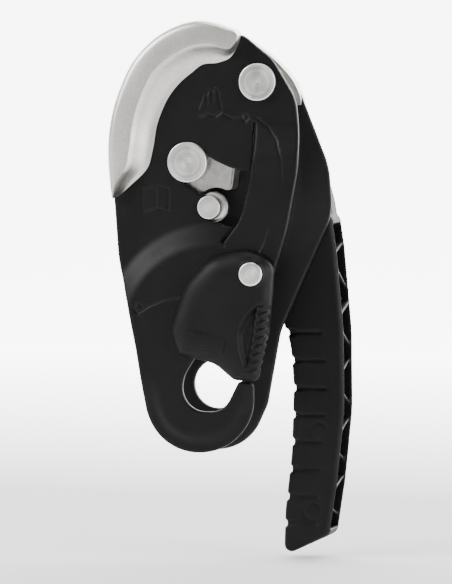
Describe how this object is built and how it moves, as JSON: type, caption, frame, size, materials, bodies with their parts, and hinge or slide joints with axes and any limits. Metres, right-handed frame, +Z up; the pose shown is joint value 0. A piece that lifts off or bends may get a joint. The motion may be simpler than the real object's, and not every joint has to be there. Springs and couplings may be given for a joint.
{
  "type": "rope descender",
  "caption": "Self-braking rope descender: a cam between two side plates, one of which swings open, with a sprung gate, rope friction lips and a control handle.",
  "frame": {"origin": "centre of the connector hole on the mid-plane of the fixed side plate", "axes": "+X right seen from the front, +Y away from the front through the plates, +Z up towards the rope end"},
  "size_m": [0.0936, 0.0483, 0.2167],
  "materials": {
    "anodised_plate": "satin black anodised",
    "lip_steel": "fine bead blasted",
    "turned_steel": "turned",
    "cam_steel": "cast and tumbled",
    "black_nylon": "moulded, fine grain",
    "spring_steel": "drawn wire",
    "bush_bronze": "plain"
  },
  "bodies": {
    "fixed_side": {"fixed_side_plate": "anodised_plate", "rear_friction_lip": "lip_steel", "rear_lip_rivets": "turned_steel", "friction_block": "lip_steel", "friction_block_rivet": "turned_steel", "plate_pivot_pin": "turned_steel", "pivot_thrust_washer": "bush_bronze", "cam_axle": "turned_steel", "axle_rear_washer": "turned_steel", "axle_rear_cap": "turned_steel", "stop_post": "turned_steel"},
    "moving_side": {"moving_side_plate": "anodised_plate", "front_friction_lip": "lip_steel", "front_lip_rivets": "turned_steel", "gate_pivot_rivet": "turned_steel"},
    "gate": {"gate_shell": "black_nylon", "gate_tongue": "cam_steel", "gate_spring": "spring_steel"},
    "cam": {"cam_body": "cam_steel", "cam_cheek_plate": "cam_steel", "cam_bush": "bush_bronze", "cam_return_spring": "spring_steel"},
    "handle": {"handle_arm": "black_nylon", "handle_drive_plate": "cam_steel", "handle_bush": "bush_bronze", "handle_return_spring": "spring_steel", "hub_cover": "black_nylon", "hub_cover_screws": "turned_steel"}
  },
  "joints": [
    {"name": "plate_swing", "type": "hinge", "parent": "fixed_side", "child": "moving_side", "pos_m": [0.0204, 0, 0.1235], "axis": [0, 1, 0], "range_deg": [0, 110]},
    {"name": "gate_turn", "type": "hinge", "parent": "moving_side", "child": "gate", "pos_m": [0.02, 0, 0.0463], "axis": [0, 1, 0], "range_deg": [0, 22], "stiffness_Nm_per_rad": 0.06, "springref_deg": -28.65},
    {"name": "cam_turn", "type": "hinge", "parent": "fixed_side", "child": "cam", "pos_m": [-0.009, 0, 0.091], "axis": [0, -1, 0], "range_deg": [0, 21], "stiffness_Nm_per_rad": 0.03, "springref_deg": -34.38},
    {"name": "handle_turn", "type": "hinge", "parent": "fixed_side", "child": "handle", "pos_m": [-0.009, 0, 0.091], "axis": [0, -1, 0], "range_deg": [0, 95], "stiffness_Nm_per_rad": 0.06, "springref_deg": -28.65}
  ]
}
